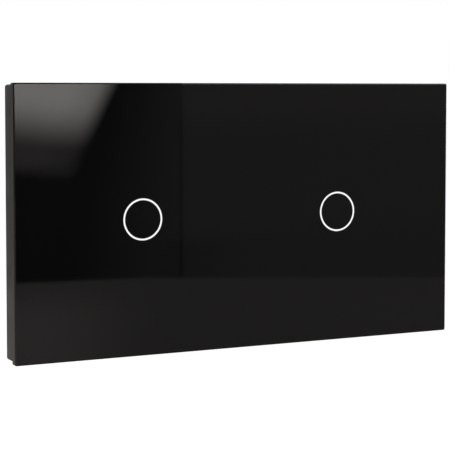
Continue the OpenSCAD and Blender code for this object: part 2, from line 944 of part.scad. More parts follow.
module terminal_block() {
    color([0.2, 0.45, 0.3])
        difference() {
            box_between(
                [-terminal_w / 2, main_board_back, terminal_low_z],
                [terminal_w / 2, case_rear, terminal_low_z + terminal_depth]);
            for (x = [-1, 1])
                translate([x * pole_pitch / 2, 0, pole_z]) {
                    // room for the clamp
                    box_between([-cell_x, cell_low, -cell_z], [cell_x, cell_top, cell_z]);
                    // room for the leg of the busbar
                    box_between(
                        [-busbar_half_x - lead_clear, main_board_back - cut, cell_z - bite],
                        [busbar_half_x + lead_clear, busbar_top + lead_clear, leg_slot_z]);
                    // wire port
                    box_between(
                        [-port_half_x, clamp_floor + lead_clear, terminal_low_z - pole_z - cut],
                        [port_half_x, busbar_under - lead_clear, -cell_z + bite]);
                    rod(terminal_screw_d / 2 + drop_in_clear, cell_top - cut, seat_y + cut);
                    rod(terminal_head_d / 2 + terminal_clear, seat_y, case_rear + cut);
                }
        }
}

module busbars() {
    color([0.8, 0.66, 0.32])
        for (x = [-1, 1])
            translate([x * pole_pitch / 2, 0, 0]) {
                box_between(
                    [-busbar_half_x, busbar_under, pole_z - cell_z + drop_in_clear],
                    [busbar_half_x, busbar_top, busbar_end_z]);
                box_between(
                    [-busbar_half_x, main_board_back, busbar_end_z - busbar_leg_t],
                    [busbar_half_x, busbar_top, busbar_end_z]);
                box_between(
                    [-busbar_tail_half, main_board_front - lead_out, busbar_end_z - busbar_leg_t],
                    [busbar_tail_half, main_board_back + bite, busbar_end_z]);
            }
}

module terminal_screw(x) {
    color([0.7, 0.7, 0.68])
        translate([x, 0, pole_z])
            difference() {
                union() {
                    rod(terminal_head_d / 2, head_under, head_under + terminal_head_h);
                    rod(terminal_screw_d / 2, busbar_top + running_clear, head_under + bite);
                }
                translate([0, head_under + terminal_head_h, 0])
                    cube([terminal_head_d + cut, 2 * screw_slot_depth, screw_slot_w], center = true);
            }
}

module line_screw() {
    terminal_screw(-pole_pitch / 2);
}

module load_screw() {
    terminal_screw(pole_pitch / 2);
}

// clamp that climbs the screw and lifts the wire against the busbar
module wire_clamp(x) {
    color([0.74, 0.72, 0.66])
        translate([x, 0, pole_z])
            difference() {
                box_between(
                    [-clamp_in_x - clamp_wall, clamp_floor - clamp_floor_t, -clamp_half_z],
                    [clamp_in_x + clamp_wall, clamp_top, clamp_half_z]);
                box_between(
                    [-clamp_in_x, clamp_floor, -clamp_half_z - cut],
                    [clamp_in_x, clamp_top - clamp_nut_t, clamp_half_z + cut]);
                rod(
                    terminal_screw_d / 2 + running_clear,
                    clamp_top - clamp_nut_t - cut, clamp_top + cut);
            }
}

module line_clamp() {
    wire_clamp(-pole_pitch / 2);
}

module load_clamp() {
    wire_clamp(pole_pitch / 2);
}

// relay

module relay_base() {
    color([0.13, 0.13, 0.14]) {
        translate([relay_x, 0, relay_z])
            slab(main_board_back, relay_floor)
                square(
                    [2 * (relay_half_l - relay_plug_clear), 2 * (relay_half_w - relay_plug_clear)],
                    center = true);
        leads(relay_pins, main_board_back + bite);
    }
}

module relay_coil() {
    low = relay_floor + yoke_t;
    high = pole_face_y - pole_h;
    color([0.72, 0.36, 0.18])
        translate([coil_x, 0, relay_z]) {
            rod(coil_r + coil_lip, low, low + coil_flange_t);
            rod(coil_r, low + coil_flange_t - bite, high - coil_flange_t + bite);
            rod(coil_r + coil_lip, high - coil_flange_t, high);
            rod(pole_r, high - bite, pole_face_y);
        }
}

module relay_yoke() {
    color([0.62, 0.62, 0.64])
        translate([0, 0, relay_z]) {
            box_between(
                [coil_x - yoke_half_w, relay_floor, -yoke_half_w],
                [yoke_x + yoke_t / 2, relay_floor + yoke_t, yoke_half_w]);
            box_between(
                [yoke_x - yoke_t / 2, relay_floor, -yoke_half_w],
                [yoke_x + yoke_t / 2, pivot_y, yoke_half_w]);
            translate([yoke_x, pivot_y, 0])
                cylinder(d = yoke_t, h = 2 * yoke_half_w, center = true);
        }
}

// fixed contact on its strip
module relay_contact() {
    color([0.78, 0.64, 0.34])
        translate([0, 0, relay_z]) {
            box_between(
                [fixed_x + fixed_contact_l, relay_floor, -strip_half_w],
                [fixed_x + fixed_contact_l + strip_t, contact_y + strip_half_w, strip_half_w]);
            translate([fixed_x, contact_y, 0])
                rotate([0, 90, 0])
                    cylinder(r = contact_r, h = fixed_contact_l + bite);
        }
}

// armature with its contact blade, drawn closed and then swung open
module relay_armature() {
    plate_low = pivot_y + armature_lift;
    color([0.58, 0.58, 0.6])
        translate([yoke_x, pivot_y, relay_z])
            rotate([0, 0, -armature_angle])
                translate([-yoke_x, -pivot_y, 0])
                    difference() {
                        union() {
                            box_between(
                                [coil_x - armature_half_w, plate_low, -armature_half_w],
                                [blade_x + blade_t, plate_low + armature_t, armature_half_w]);
                            box_between(
                                [blade_x, blade_end, -blade_half_w],
                                [blade_x + blade_t, plate_low + bite, blade_half_w]);
                            translate([blade_x + blade_t - bite / 2, contact_y, 0])
                                rotate([0, 90, 0])
                                    cylinder(r = contact_r, h = contact_l + bite / 2);
                        }
                        translate([yoke_x, pivot_y, 0])
                            cylinder(r = yoke_t / 2 + running_clear, h = relay_w, center = true);
                    }
}

module relay_case() {
    color([0.15, 0.3, 0.6])
        translate([relay_x, 0, relay_z])
            difference() {
                bevelled_block(
                    relay_l, relay_w,
                    main_board_back, main_board_back + relay_h, 0, relay_bevel);
                slab(main_board_back - cut, main_board_back + relay_h - relay_wall)
                    square([2 * relay_half_l, 2 * relay_half_w], center = true);
            }
}

// supply parts

module box_capacitor() {
    color([0.75, 0.6, 0.2]) {
        translate([box_capacitor_x, 0, box_capacitor_z])
            bevelled_block(
                box_capacitor_t, box_capacitor_l,
                main_board_back, main_board_back + box_capacitor_h, 0, box_capacitor_bevel);
        leads(box_capacitor_pins, main_board_back + bite);
    }
}

module round_capacitor() {
    r = round_capacitor_d / 2;
    bevel = round_capacitor_bevel;
    color([0.2, 0.22, 0.3]) {
        translate([round_capacitor_x, main_board_back, round_capacitor_z])
            rotate([-90, 0, 0])
                rotate_extrude()
                    polygon([
                        [0, 0], [r - bevel, 0], [r, bevel],
                        [r, crimp_h - crimp_depth], [r - crimp_depth, crimp_h], [r, crimp_h + crimp_depth],
                        [r, round_capacitor_h - bevel], [r - bevel, round_capacitor_h],
                        [0, round_capacitor_h]
                    ]);
        leads(round_capacitor_pins, main_board_back + bite);
    }
}

module transformer() {
    color([0.25, 0.24, 0.24]) {
        translate([transformer_x, 0, transformer_z]) {
            bevelled_block(
                transformer_w, core_d,
                main_board_back + core_stand, main_board_back + transformer_h, core_bevel, core_bevel);
            bevelled_block(
                bobbin_w, transformer_d,
                main_board_back, main_board_back + transformer_h - core_over, 0, bobbin_bevel);
        }
        leads(transformer_pins, main_board_back + bite);
    }
}

glass_panel();
black_backing();
touch_rings();
panel_adhesive();
panel_frame();
for (g = gangs)
    translate([g[1], 0, 0]) {
        mounting_plate(g[2]);
        rear_housing();
        front_cover();
        module_screws();
        light_guide();
        touch_board();
        touch_spring();
        status_leds();
        board_header();
        board_socket();
        main_board();
        terminal_block();
        busbars();
        line_screw();
        load_screw();
        line_clamp();
        load_clamp();
        relay_base();
        relay_coil();
        relay_yoke();
        relay_contact();
        relay_armature();
        relay_case();
        box_capacitor();
        round_capacitor();
        transformer();
    }
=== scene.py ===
import json
import math

import bmesh
import bpy
from mathutils import Matrix, Vector
from mathutils.geometry import intersect_point_line

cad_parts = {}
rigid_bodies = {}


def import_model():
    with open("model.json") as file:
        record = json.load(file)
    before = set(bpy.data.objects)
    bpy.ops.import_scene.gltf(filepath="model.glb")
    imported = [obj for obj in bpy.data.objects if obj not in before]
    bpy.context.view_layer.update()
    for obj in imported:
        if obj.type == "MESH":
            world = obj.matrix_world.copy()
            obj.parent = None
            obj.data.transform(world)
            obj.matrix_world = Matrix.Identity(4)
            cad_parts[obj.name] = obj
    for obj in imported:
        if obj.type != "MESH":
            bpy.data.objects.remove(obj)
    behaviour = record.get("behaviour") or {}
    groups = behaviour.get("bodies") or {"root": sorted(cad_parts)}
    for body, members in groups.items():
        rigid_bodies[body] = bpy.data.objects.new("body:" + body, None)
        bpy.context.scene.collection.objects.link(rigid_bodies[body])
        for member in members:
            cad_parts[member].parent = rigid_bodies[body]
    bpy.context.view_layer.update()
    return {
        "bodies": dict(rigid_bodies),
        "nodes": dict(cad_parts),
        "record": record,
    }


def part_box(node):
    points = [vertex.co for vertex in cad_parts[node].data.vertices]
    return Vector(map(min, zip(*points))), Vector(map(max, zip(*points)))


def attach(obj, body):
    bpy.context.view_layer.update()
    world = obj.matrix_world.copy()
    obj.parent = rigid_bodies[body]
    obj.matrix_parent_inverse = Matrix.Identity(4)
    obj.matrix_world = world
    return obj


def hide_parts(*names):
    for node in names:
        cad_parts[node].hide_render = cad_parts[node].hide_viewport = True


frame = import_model()
nodes = frame["nodes"]
scene = bpy.context.scene
mm = 0.001
hair = 0.001 * mm  # points nearer than this lie at the same depth
gangX = {"left": -35.5, "right": 35.5}  # middle of each module, in mm
print("frame loaded:", len(nodes), "nodes")


def addObject(name, data):
    added = bpy.data.objects.new(name, data)
    scene.collection.objects.link(added)
    return added


# turn a camera or lamp to look along a direction
def aim(item, direction):
    item.rotation_mode = "QUATERNION"
    item.rotation_quaternion = direction.to_track_quat("-Z", "Y")


# camera to the left of the switch and a little above it, in mm and degrees
cameraPlace = {
    "target": (-5.047, -5.0, 14.42),
    "azimuth": -26.39,
    "elevation": 3.095,
    "distance": 487.7,
    "sensor": 36,
    "lens": 119.73,
    "shiftUp": -0.12,  # as a share of the picture
    "clip": (10, 50000),
}


def placeCamera(place):
    turn, lift = math.radians(place["azimuth"]), math.radians(place["elevation"])
    back = Vector((math.sin(turn) * math.cos(lift), -math.cos(turn) * math.cos(lift), math.sin(lift)))
    data = bpy.data.cameras.new("photoCamera")
    data.sensor_width = place["sensor"]
    data.lens = place["lens"]
    data.shift_y = place["shiftUp"]
    data.clip_start, data.clip_end = (reach * mm for reach in place["clip"])
    camera = addObject("photoCamera", data)
    camera.location = (Vector(place["target"]) + back * place["distance"]) * mm
    aim(camera, -back)
    scene.camera = camera


placeCamera(cameraPlace)
scene.view_settings.view_transform = "Standard"
print("camera set")


# an sRGB hex code as the linear colour that shaders take
def linear(code):
    parts = [int(code[i : i + 2], 16) / 255 for i in (1, 3, 5)]
    return [p / 12.92 if p <= 0.04045 else ((p + 0.055) / 1.055) ** 2.4 for p in parts] + [1.0]


# texture scale for details of this size in mm
def perMetre(size):
    return 1 / (size * mm)


def emptyTree(owner):
    owner.use_nodes = True
    owner.node_tree.nodes.clear()
    return owner.node_tree


def addNode(tree, kind, settings, links=()):
    node = tree.nodes.new(kind)
    for key, value in settings.items():
        if isinstance(key, str) and hasattr(node, key):
            setattr(node, key, value)
        else:
            node.inputs[key].default_value = value
    for key, socket in dict(links).items():
        tree.links.new(socket, node.inputs[key])
    return node


def startMaterial(name, settings):
    material = bpy.data.materials.new(name)
    tree = emptyTree(material)
    shader = addNode(tree, "ShaderNodeBsdfPrincipled", settings)
    addNode(tree, "ShaderNodeOutputMaterial", {}, {"Surface": shader.outputs["BSDF"]})
    place = addNode(tree, "ShaderNodeTexCoord", {}).outputs["Object"]
    return material, tree, shader, place


# moulded plastic: spark-eroded mould grain, in clouds a little uneven in gloss
mouldSkin = {"cloud": 9, "uneven": 0.05, "strength": 0.6}


def mouldedPlastic(name, colour, roughness, grain, depth, specular=0.5):
    material, tree, shader, place = startMaterial(
        name, {"Base Color": linear(colour), "Specular IOR Level": specular}
    )
    cloud = addNode(
        tree,
        "ShaderNodeTexNoise",
        {"Scale": perMetre(mouldSkin["cloud"]), "Detail": 3.0},
        {"Vector": place},
    )
    gloss = addNode(
        tree,
        "ShaderNodeMapRange",
        {
            "From Min": 0.3,
            "From Max": 0.7,
            "To Min": roughness - mouldSkin["uneven"],
            "To Max": roughness + mouldSkin["uneven"],
        },
        {"Value": cloud.outputs["Fac"]},
    )
    pits = addNode(
        tree, "ShaderNodeTexNoise", {"Scale": perMetre(grain), "Detail": 2.0}, {"Vector": place}
    )
    bump = addNode(
        tree,
        "ShaderNodeBump",
        {"Strength": mouldSkin["strength"], "Distance": depth * mm},
        {"Height": pits.outputs["Fac"]},
    )
    tree.links.new(gloss.outputs["Result"], shader.inputs["Roughness"])
    tree.links.new(bump.outputs["Normal"], shader.inputs["Normal"])
    return material


# plated metal: crystals of the plating catch the light a little differently
plating = {"shade": "#d8dade", "scratch": 0.5, "scratchDepth": 0.01, "strength": 0.25}


def platedMetal(name, colour, roughness, crystal, contrast):
    material, tree, shader, place = startMaterial(name, {"Metallic": 1.0})
    spangle = addNode(
        tree, "ShaderNodeTexVoronoi", {"Scale": perMetre(crystal)}, {"Vector": place}
    )
    grey = addNode(tree, "ShaderNodeRGBToBW", {}, {"Color": spangle.outputs["Color"]})
    tone = addNode(
        tree,
        "ShaderNodeMixRGB",
        {"blend_type": "MULTIPLY", "Color1": linear(colour), "Color2": linear(plating["shade"])},
        {"Fac": grey.outputs["Val"]},
    )
    gloss = addNode(
        tree,
        "ShaderNodeMapRange",
        {"To Min": roughness - contrast, "To Max": roughness + contrast},
        {"Value": grey.outputs["Val"]},
    )
    scratch = addNode(
        tree,
        "ShaderNodeTexNoise",
        {"Scale": perMetre(plating["scratch"]), "Detail": 3.0},
        {"Vector": place},
    )
    bump = addNode(
        tree,
        "ShaderNodeBump",
        {"Strength": plating["strength"], "Distance": plating["scratchDepth"] * mm},
        {"Height": scratch.outputs["Fac"]},
    )
    tree.links.new(tone.outputs["Color"], shader.inputs["Base Color"])
    tree.links.new(gloss.outputs["Result"], shader.inputs["Roughness"])
    tree.links.new(bump.outputs["Normal"], shader.inputs["Normal"])
    return material


# smoked float glass, polished: only print lit by its painted glow shows brightly through it, with the
# faintest film on it;
# its ground edge over black print is satin and nearly black
glassLook = {
    "index": 1.52,
    "tint": "#707070",
    "filmCloud": 35,
    "filmRoughness": 0.02,
    "edgeColour": "#0d0d0c",
    "edgeGrit": 0.6,
    "edgeRoughness": (0.6, 0.76),
}


def floatGlass(name, look):
    material, tree, shader, place = startMaterial(
        name,
        {"Base Color": linear(look["tint"]), "IOR": look["index"], "Transmission Weight": 1.0},
    )
    film = addNode(
        tree,
        "ShaderNodeTexNoise",
        {"Scale": perMetre(look["filmCloud"]), "Detail": 2.0},
        {"Vector": place},
    )
    gloss = addNode(
        tree,
        "ShaderNodeMapRange",
        {"From Min": 0.45, "From Max": 0.8, "To Min": 0.0, "To Max": look["filmRoughness"]},
        {"Value": film.outputs["Fac"]},
    )
    tree.links.new(gloss.outputs["Result"], shader.inputs["Roughness"])
    return material


def groundEdge(name, look):
    material, tree, shader, place = startMaterial(
        name,
        {
            "Base Color": linear(look["edgeColour"]),
            "IOR": look["index"],
            "Specular IOR Level": 0.3,
        },
    )
    grit = addNode(
        tree,
        "ShaderNodeTexNoise",
        {"Scale": perMetre(look["edgeGrit"]), "Detail": 3.0},
        {"Vector": place},
    )
    smooth, rough = look["edgeRoughness"]
    gloss = addNode(
        tree,
        "ShaderNodeMapRange",
        {"To Min": smooth, "To Max": rough},
        {"Value": grit.outputs["Fac"]},
    )
    tree.links.new(gloss.outputs["Result"], shader.inputs["Roughness"])
    return material


# screen-printed ink seen through glass it is bonded to, so it has no gloss of its own; its glow is
# painted light, an emission that stands in for the light reaching the white ink through the glass
inkPrint = {"mesh": 0.8, "roughness": 0.6}


def printedInk(name, light, dark, paintedGlow):
    material, tree, shader, place = startMaterial(
        name,
        {
            "Roughness": inkPrint["roughness"],
            "Specular IOR Level": 0.0,
            "Emission Color": linear("#ffffff"),
            "Emission Strength": paintedGlow,
        },
    )
    mesh = addNode(
        tree,
        "ShaderNodeTexNoise",
        {"Scale": perMetre(inkPrint["mesh"]), "Detail": 2.0},
        {"Vector": place},
    )
    tone = addNode(
        tree,
        "ShaderNodeMixRGB",
        {"Color1": linear(light), "Color2": linear(dark)},
        {"Fac": mesh.outputs["Fac"]},
    )
    tree.links.new(tone.outputs["Color"], shader.inputs["Base Color"])
    return material


# board laminate: areas of copper show paler under the green lacquer, with gaps etched between
boardFoil = {"roughness": 0.3, "uneven": 0.85, "gapFrom": 0.8, "gapTo": 1.2, "thickness": 0.035}


def boardLaminate(name, lacquer, copper, area, gap):
    material, tree, shader, place = startMaterial(name, {"Roughness": boardFoil["roughness"]})
    nearest, second = (
        addNode(
            tree,
            "ShaderNodeTexVoronoi",
            {
                "feature": rank,
                "distance": "CHEBYCHEV",
                "Scale": perMetre(area),
                "Randomness": boardFoil["uneven"],
            },
            {"Vector": place},
        )
        for rank in ("F1", "F2")
    )
    apart = addNode(
        tree,
        "ShaderNodeMath",
        {"operation": "SUBTRACT"},
        {0: second.outputs["Distance"], 1: nearest.outputs["Distance"]},
    )
    etched = addNode(
        tree,
        "ShaderNodeMapRange",
        {"From Min": boardFoil["gapFrom"] * gap / area, "From Max": boardFoil["gapTo"] * gap / area},
        {"Value": apart.outputs[0]},
    )
    tone = addNode(
        tree,
        "ShaderNodeMixRGB",
        {"Color1": linear(lacquer), "Color2": linear(copper)},
        {"Fac": etched.outputs["Result"]},
    )
    bump = addNode(
        tree,
        "ShaderNodeBump",
        {"Strength": 0.4, "Distance": boardFoil["thickness"] * mm},
        {"Height": etched.outputs["Result"]},
    )
    tree.links.new(tone.outputs["Color"], shader.inputs["Base Color"])
    tree.links.new(bump.outputs["Normal"], shader.inputs["Normal"])
    return material


# enamelled wire in close turns round the coil, drawn coarser than it is so that it shows; between the
# turns it is darker, painted shade in the valleys between the wires
winding = {
    "radian": 0.3,  # mm along the coil for each radian of the wave
    "waveRadians": 20,  # that the wave texture itself counts in one unit
    "depth": 0.1,
}


def enamelWinding(name, colour, gap):
    material, tree, shader, place = startMaterial(name, {"Metallic": 0.85, "Roughness": 0.3})
    turns = addNode(
        tree,
        "ShaderNodeTexWave",
        {
            "bands_direction": "Y",
            "Scale": perMetre(winding["radian"]) / winding["waveRadians"],
            "Distortion": 0.4,
        },
        {"Vector": place},
    )
    # painted shade: the gap colour darkens the valleys between the turns
    tone = addNode(
        tree,
        "ShaderNodeMixRGB",
        {"Color1": linear(gap), "Color2": linear(colour)},
        {"Fac": turns.outputs["Fac"]},
    )
    bump = addNode(
        tree,
        "ShaderNodeBump",
        {"Strength": 0.7, "Distance": winding["depth"] * mm},
        {"Height": turns.outputs["Fac"]},
    )
    tree.links.new(tone.outputs["Color"], shader.inputs["Base Color"])
    tree.links.new(bump.outputs["Normal"], shader.inputs["Normal"])
    return material


# closed-cell foam: small bubbles cut open at the surface
foamCell = {"size": 0.35, "depth": 0.08}


def cutFoam(name, colour):
    material, tree, shader, place = startMaterial(
        name, {"Base Color": linear(colour), "Roughness": 0.9, "Specular IOR Level": 0.2}
    )
    cells = addNode(
        tree, "ShaderNodeTexVoronoi", {"Scale": perMetre(foamCell["size"])}, {"Vector": place}
    )
    bump = addNode(
        tree,
        "ShaderNodeBump",
        {"Strength": 0.8, "Distance": foamCell["depth"] * mm},
        {"Height": cells.outputs["Distance"]},
    )
    tree.links.new(bump.outputs["Normal"], shader.inputs["Normal"])
    return material


# milky acrylic and resin: light passes in and spreads
resinLook = {"spread": 0.6, "swirl": 2.5, "roughness": (0.18, 0.34)}


def milkyResin(name, colour, haze):
    material, tree, shader, place = startMaterial(
        name,
        {
            "Base Color": linear(colour),
            "Subsurface Weight": haze,
            "Subsurface Radius": (1.0, 1.0, 1.0),
            "Subsurface Scale": resinLook["spread"] * mm,
        },
    )
    swirl = addNode(
        tree,
        "ShaderNodeTexNoise",
        {"Scale": perMetre(resinLook["swirl"]), "Detail": 2.0},
        {"Vector": place},
    )
    smooth, rough = resinLook["roughness"]
    gloss = addNode(
        tree,
        "ShaderNodeMapRange",
        {"To Min": smooth, "To Max": rough},
        {"Value": swirl.outputs["Fac"]},
    )
    tree.links.new(gloss.outputs["Result"], shader.inputs["Roughness"])
    return material


# the finish for each material slot, and the glass's ground edge; plastics have their roughness
# and the size and depth of their grain in mm, metals their roughness, crystal size and contrast
finish = {
    "black_glass": floatGlass("smokedFloatGlass", glassLook),
    "ground_edge": groundEdge("groundGlassEdge", glassLook),
    "black_ink": printedInk("blackScreenInk", "#151516", "#1e1e1f", 0.0),
    # the white ring glows with painted light: emission in place of light reaching it through the
    # glass
    "white_ink": printedInk("whiteInkPaintedGlow", "#f6f6f4", "#fdfdfc", 2.38),
    "foam_tape": cutFoam("blackFoamTape", "#1e1e20"),
    "black_abs": mouldedPlastic("blackMattABS", "#1b1b1b", 0.7, 0.35, 0.015, 0.25),
    "zinc_plated_steel": platedMetal("zincPlatedSheet", "#c3c7cb", 0.34, 1.6, 0.06),
    "dark_polycarbonate": mouldedPlastic("darkPolycarbonate", "#2b2c2e", 0.42, 0.4, 0.02),
    "light_polycarbonate": mouldedPlastic("lightPolycarbonate", "#dcdcd8", 0.4, 0.4, 0.02),
    "screw_steel": platedMetal("zincPlatedScrew", "#bfc1bf", 0.28, 0.15, 0.04),
    "milky_acrylic": milkyResin("milkyAcrylic", "#eef0f2", 0.5),
    "green_laminate": boardLaminate("greenBoardLaminate", "#0a3d22", "#1c6a40", 5.5, 0.5),
    "spring_steel": platedMetal("brightSpringWire", "#d0d0cc", 0.22, 0.4, 0.04),
    "led_resin": milkyResin("amberTintedResin", "#f2e6b4", 0.3),
    "black_nylon": mouldedPlastic("blackNylon", "#1b1b1b", 0.5, 0.4, 0.02),
    "green_nylon": mouldedPlastic("greenNylon", "#3a7d55", 0.45, 0.4, 0.02),
    "brass": platedMetal("rolledBrass", "#d2b064", 0.25, 0.2, 0.04),
    "clamp_steel": platedMetal("zincPlatedClamp", "#c4c0b2", 0.3, 0.2, 0.04),
    # the darker second colour is painted shade between the turns
    "copper_winding": enamelWinding("enamelledCopper", "#c06a38", "#5a2c14"),
    "relay_iron": platedMetal("nickelPlatedIron", "#b4b4b6", 0.26, 0.15, 0.03),
    "blue_polyester": mouldedPlastic("bluePolyester", "#2c4f9c", 0.38, 0.4, 0.02),
    "yellow_polyester": mouldedPlastic("yellowPolyester", "#c9a133", 0.36, 0.4, 0.02),
    "capacitor_sleeve": mouldedPlastic("shrinkSleeve", "#262b3d", 0.25, 0.5, 0.01),
    "ferrite": mouldedPlastic("pressedFerrite", "#3c3a3a", 0.6, 0.25, 0.03),
}
slotOfNode = {part["node"]: part["material_slot"] for part in frame["record"]["subparts"]}
for name, node in nodes.items():
    node.data.materials.clear()
    node.data.materials.append(finish[slotOfNode[name]])
print("materials made:", len(finish))


# making and registering pieces
def meshFrom(name, shape):
    mesh = bpy.data.meshes.new(name)
    shape.to_mesh(mesh)
    shape.free()
    return mesh


def addPiece(name, data, body, replaced):
    piece = addObject(name, data)
    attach(piece, body)
    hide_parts(replaced)


smoothAngle = 20  # edges bent by more degrees than this stay crisp


def addMeshPiece(name, shape, slots, body, replaced):
    mesh = meshFrom(name, shape)
    mesh.shade_smooth()
    mesh.set_sharp_from_angle(angle=math.radians(smoothAngle))
    for slot in slots:
        mesh.materials.append(finish[slot])
    addPiece(name, mesh, body, replaced)


# glass plate, in mm: polished bevel in front, a smaller one behind; its back lies a little
# inside the print, as bonded ink has no air behind the glass
glassPlate = {
    "intoPrint": 0.02,
    "corner": 0.6,
    "cornerSegments": 8,
    "frontBevel": 0.4,
    "backBevel": 0.3,
    "clearLean": 0.2,  # faces that look forward by more than this are clear, the rest ground
}


def bevelEdges(shape, edges, width, segments, **more):
    bmesh.ops.bevel(
        shape, geom=edges, offset=width * mm, offset_type="OFFSET", segments=segments,
        profile=0.5, affect="EDGES", material=-1, **more,
    )


def makeGlass(plate):
    low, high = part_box("glass_panel")
    high.y += plate["intoPrint"] * mm
    shape = bmesh.new()
    bmesh.ops.create_cube(shape, size=1)
    bmesh.ops.scale(shape, vec=high - low, verts=shape.verts)
    bmesh.ops.translate(shape, vec=(low + high) / 2, verts=shape.verts)
    corners = [e for e in shape.edges if abs(e.verts[0].co.y - e.verts[1].co.y) > hair]
    bevelEdges(shape, corners, plate["corner"], plate["cornerSegments"])
    for depth, width in ((low.y, plate["frontBevel"]), (high.y, plate["backBevel"])):
        rim = [e for e in shape.edges if all(abs(v.co.y - depth) < hair for v in e.verts)]
        bevelEdges(shape, rim, width, 1)
    shape.normal_update()
    for face in shape.faces:
        face.material_index = 0 if -face.normal.y > plate["clearLean"] else 1
    addMeshPiece("glassPlate", shape, ("black_glass", "ground_edge"), "front_panel", "glass_panel")


makeGlass(glassPlate)
print("glass made")


# solids with their sharp edges taken off, as moulding and stamping leave them: the body that
# each rides on, named without its side, and the width of its rounding in mm
softEdges = {
    "panel_frame": ("front_panel", 0.1),
    "mounting_plate": ("wall_unit", 0.1),
    "rear_housing": ("wall_unit", 0.15),
    "front_cover": ("wall_unit", 0.1),
    "terminal_block": ("wall_unit", 0.12),
    "module_screws": ("wall_unit", 0.06),
    "line_screw": ("line_screw_body", 0.1),
    "load_screw": ("load_screw_body", 0.1),
}
softening = {
    "mergeWithin": 0.002,  # in mm
    "flatAngle": 0.5,  # in degrees, as the next
    "sharpAngle": 40,
    "segments": 2,
    "faceRoom": 2.5,  # in widths of the rounding, as the next
    "edgeRoom": 2.2,
    "longEdge": 1.0,  # in mm
    "besideCosine": 0.7,
}


# false where a face beside the edge is too narrow to be rounded off, or where another
# edge runs close beside a long one
def hasRoom(edge, width):
    start, end = (v.co for v in edge.verts)
    middle, along, length = (start + end) / 2, (end - start).normalized(), (end - start).length
    for face in edge.link_faces:
        if face.calc_area() < softening["faceRoom"] * width * length:
            return False
        for other in face.edges if length > softening["longEdge"] * mm else ():
            a, b = (v.co for v in other.verts)
            share = intersect_point_line(middle, a, b)[1]
            gap = a.lerp(b, min(max(share, 0), 1)) - middle
            beside = abs(gap.dot(along)) < softening["besideCosine"] * gap.length
            if other != edge and beside and gap.length < softening["edgeRoom"] * width:
                return False
    return True


def soften(nodeName, body, width):
    shape = bmesh.new()
    shape.from_mesh(nodes[nodeName].data)
    bmesh.ops.remove_doubles(shape, verts=shape.verts, dist=softening["mergeWithin"] * mm)
    bmesh.ops.dissolve_limit(
        shape, angle_limit=math.radians(softening["flatAngle"]), verts=shape.verts, edges=shape.edges
    )
    limit = math.radians(softening["sharpAngle"])
    sharp = [e for e in shape.edges if len(e.link_faces) == 2 and abs(e.calc_face_angle()) > limit]
    roomy = [e for e in sharp if hasRoom(e, width * mm)]
    bevelEdges(shape, roomy, width, softening["segments"], clamp_overlap=False)
    addMeshPiece(nodeName + "_soft", shape, (slotOfNode[nodeName],), body, nodeName)


for part, (body, width) in softEdges.items():
    if part in nodes:
        soften(part, body, width)
        continue
    for side in gangX:
        rider = body if body in frame["bodies"] else side + "_" + body
        soften(side + "_" + part, rider, width)
print("edges softened")


# touch spring, in mm: round wire, straight foot, helix and a flat spiral that presses on the panel
touchSpring = {
    "foot": -2.5,
    "leg": 0.5,
    "bend": 0.6,
    "bendSteps": 6,
    "top": -6.6,
    "radius": 4.4,
    "wire": 0.5,
    "wireResolution": 3,
    "turns": 2.75,
    "spiralTurns": 1.25,
    "spiralPitch": 1.9,
    "pointsPerTurn": 32,
}


def springLine(spring):
    def around(radius, angle, depth):
        return (radius * math.cos(angle), depth, radius * math.sin(angle))

    start = spring["bend"] / spring["radius"]
    legEnd = spring["foot"] - spring["leg"]
    rise = legEnd - spring["bend"]
    line = [around(spring["radius"], 0, spring["foot"])]
    for i in range(spring["bendSteps"]):
        angle = math.pi / 2 * i / spring["bendSteps"]
        depth = legEnd - spring["bend"] * math.sin(angle)
        line.append(around(spring["radius"], start * (1 - math.cos(angle)), depth))
    steps = round(spring["turns"] * spring["pointsPerTurn"])
    for i in range(steps + 1):
        depth = rise + (spring["top"] - rise) * i / steps
        turn = spring["turns"] * i / steps
        line.append(around(spring["radius"], start + 2 * math.pi * turn, depth))
    steps = round(spring["spiralTurns"] * spring["pointsPerTurn"])
    for i in range(1, steps + 1):
        radius = spring["radius"] - spring["spiralPitch"] * spring["spiralTurns"] * i / steps
        turn = spring["turns"] + spring["spiralTurns"] * i / steps
        line.append(around(radius, start + 2 * math.pi * turn, spring["top"]))
    return line


def makeSpring(side, spring):
    name = side + "_touchSpringWire"
    data = bpy.data.curves.new(name, "CURVE")
    data.dimensions = "3D"
    data.bevel_depth = spring["wire"] / 2 * mm
    data.bevel_resolution = spring["wireResolution"]
    data.use_fill_caps = True
    line = springLine(spring)
    spline = data.splines.new("POLY")
    spline.points.add(len(line) - 1)
    for point, (x, y, z) in zip(spline.points, line):
        point.co = ((x + gangX[side]) * mm, y * mm, z * mm, 1)
    data.materials.append(finish["spring_steel"])
    addPiece(name, data, "wall_unit", side + "_touch_spring")


for side in gangX:
    makeSpring(side, touchSpring)
print("springs made")


# white studio, in metres: floor well below the switch, soft world, one broad lamp
studio = {
    "floorHeight": -0.9,
    "floorSize": 12,
    "floorColour": "#e6e6e4",
    "floorLift": 0.5,
    "ambient": 0.65,
    "lampEnergy": 12,
    "lampSize": 1.2,
    "lampPlace": (-1.0, -1.1, 1.2),
}


# 1 for rays that show the background itself, 0 for those that only light things
def seenDirectly(tree):
    path = addNode(tree, "ShaderNodeLightPath", {})
    seen = path.outputs["Is Camera Ray"]
    for ray in ("Is Glossy Ray", "Is Transmission Ray"):
        both = addNode(
            tree, "ShaderNodeMath", {"operation": "MAXIMUM"}, {0: seen, 1: path.outputs[ray]}
        )
        seen = both.outputs[0]
    return seen


